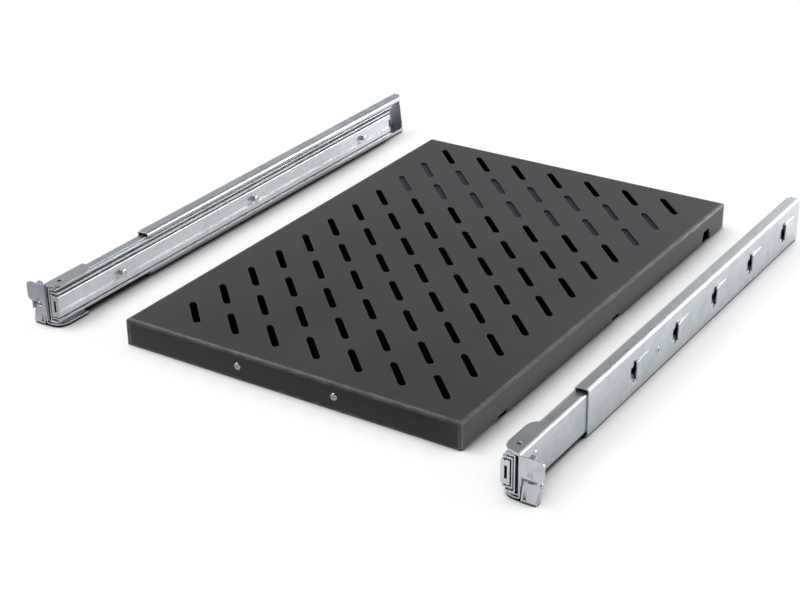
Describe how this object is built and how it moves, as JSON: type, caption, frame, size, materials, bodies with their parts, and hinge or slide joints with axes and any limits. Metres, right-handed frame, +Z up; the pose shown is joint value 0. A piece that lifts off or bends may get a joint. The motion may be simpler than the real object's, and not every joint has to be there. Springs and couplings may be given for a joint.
{
  "type": "pull-out rack shelf set",
  "caption": "Perforated steel shelf tray with two telescopic ball slides, depth-adjustable rails and quick-fit heads beside it.",
  "frame": {"origin": "on the floor, in the middle of the footprint of the shelf and its two slides", "axes": "+X to the right, +Y from the front of the rack to the back, +Z up"},
  "size_m": [0.6482, 0.714, 0.052],
  "materials": {
    "powder_coat": "fine textured powder coat",
    "zinc_sheet": "bright zinc plating, cold rolled",
    "race_steel": "drawn and zinc plated",
    "ball_steel": "polished hardened steel",
    "cage_steel": "oiled thin strip",
    "screw_zinc": "bright zinc plating",
    "spring_steel": "plain spring wire",
    "buffer_rubber": "moulded rubber"
  },
  "bodies": {
    "root": {"shelf_tray": "powder_coat", "shelf_stiffener": "powder_coat", "front_screws": "screw_zinc", "front_nuts": "screw_zinc", "front_bracket_left": "zinc_sheet", "head_plate_left": "zinc_sheet", "head_hook_left": "zinc_sheet", "head_rivets_left": "screw_zinc", "lever_pin_left": "screw_zinc", "lever_spring_left": "spring_steel", "slide_outer_member_left": "race_steel", "member_rivets_left": "screw_zinc", "end_buffer_left": "buffer_rubber", "front_bracket_right": "zinc_sheet", "head_plate_right": "zinc_sheet", "head_hook_right": "zinc_sheet", "head_rivets_right": "screw_zinc", "lever_pin_right": "screw_zinc", "lever_spring_right": "spring_steel", "slide_outer_member_right": "race_steel", "member_rivets_right": "screw_zinc", "end_buffer_right": "buffer_rubber"},
    "rail_left": {"rear_bracket_left": "zinc_sheet", "depth_screw_left": "screw_zinc", "depth_nut_left": "screw_zinc"},
    "outer_cage_left": {"outer_ball_cage_left": "cage_steel", "outer_balls_left": "ball_steel"},
    "middle_left": {"slide_middle_member_left": "race_steel"},
    "inner_cage_left": {"inner_ball_cage_left": "cage_steel", "inner_balls_left": "ball_steel"},
    "inner_left": {"slide_inner_member_left": "race_steel", "carrier_studs_left": "screw_zinc"},
    "lever_left": {"lock_lever_left": "zinc_sheet"},
    "rail_right": {"rear_bracket_right": "zinc_sheet", "depth_screw_right": "screw_zinc", "depth_nut_right": "screw_zinc"},
    "outer_cage_right": {"outer_ball_cage_right": "cage_steel", "outer_balls_right": "ball_steel"},
    "middle_right": {"slide_middle_member_right": "race_steel"},
    "inner_cage_right": {"inner_ball_cage_right": "cage_steel", "inner_balls_right": "ball_steel"},
    "inner_right": {"slide_inner_member_right": "race_steel", "carrier_studs_right": "screw_zinc"},
    "lever_right": {"lock_lever_right": "zinc_sheet"}
  },
  "joints": [
    {"name": "depth_left", "type": "slide", "parent": "root", "child": "rail_left", "axis": [0, 1, 0], "range_m": [-0.025, 0.165]},
    {"name": "middle_travel_left", "type": "slide", "parent": "root", "child": "middle_left", "axis": [0, -1, 0], "range_m": [0, 0.25]},
    {"name": "inner_travel_left", "type": "slide", "parent": "middle_left", "child": "inner_left", "axis": [0, -1, 0], "range_m": [0, 0.25]},
    {"name": "outer_cage_travel_left", "type": "slide", "parent": "root", "child": "outer_cage_left", "axis": [0, -1, 0], "range_m": [0, 0.125]},
    {"name": "inner_cage_travel_left", "type": "slide", "parent": "middle_left", "child": "inner_cage_left", "axis": [0, -1, 0], "range_m": [0, 0.125]},
    {"name": "lock_left", "type": "hinge", "parent": "root", "child": "lever_left", "pos_m": [-0.3091, -0.317, 0.019], "axis": [-1, 0, 0], "range_deg": [0, 35], "stiffness_Nm_per_rad": 0.05},
    {"name": "depth_right", "type": "slide", "parent": "root", "child": "rail_right", "axis": [0, 1, 0], "range_m": [-0.0015, 0.19]},
    {"name": "middle_travel_right", "type": "slide", "parent": "root", "child": "middle_right", "axis": [0, -1, 0], "range_m": [0, 0.25]},
    {"name": "inner_travel_right", "type": "slide", "parent": "middle_right", "child": "inner_right", "axis": [0, -1, 0], "range_m": [0, 0.25]},
    {"name": "outer_cage_travel_right", "type": "slide", "parent": "root", "child": "outer_cage_right", "axis": [0, -1, 0], "range_m": [0, 0.125]},
    {"name": "inner_cage_travel_right", "type": "slide", "parent": "middle_right", "child": "inner_cage_right", "axis": [0, -1, 0], "range_m": [0, 0.125]},
    {"name": "lock_right", "type": "hinge", "parent": "root", "child": "lever_right", "pos_m": [0.3091, -0.35, 0.019], "axis": [-1, 0, 0], "range_deg": [0, 35], "stiffness_Nm_per_rad": 0.05}
  ],
  "couplings": [
    {"joint": "inner_travel_left", "follows": "middle_travel_left", "ratio": 1},
    {"joint": "outer_cage_travel_left", "follows": "middle_travel_left", "ratio": 0.5},
    {"joint": "inner_cage_travel_left", "follows": "middle_travel_left", "ratio": 0.5},
    {"joint": "inner_travel_right", "follows": "middle_travel_right", "ratio": 1},
    {"joint": "outer_cage_travel_right", "follows": "middle_travel_right", "ratio": 0.5},
    {"joint": "inner_cage_travel_right", "follows": "middle_travel_right", "ratio": 0.5}
  ]
}
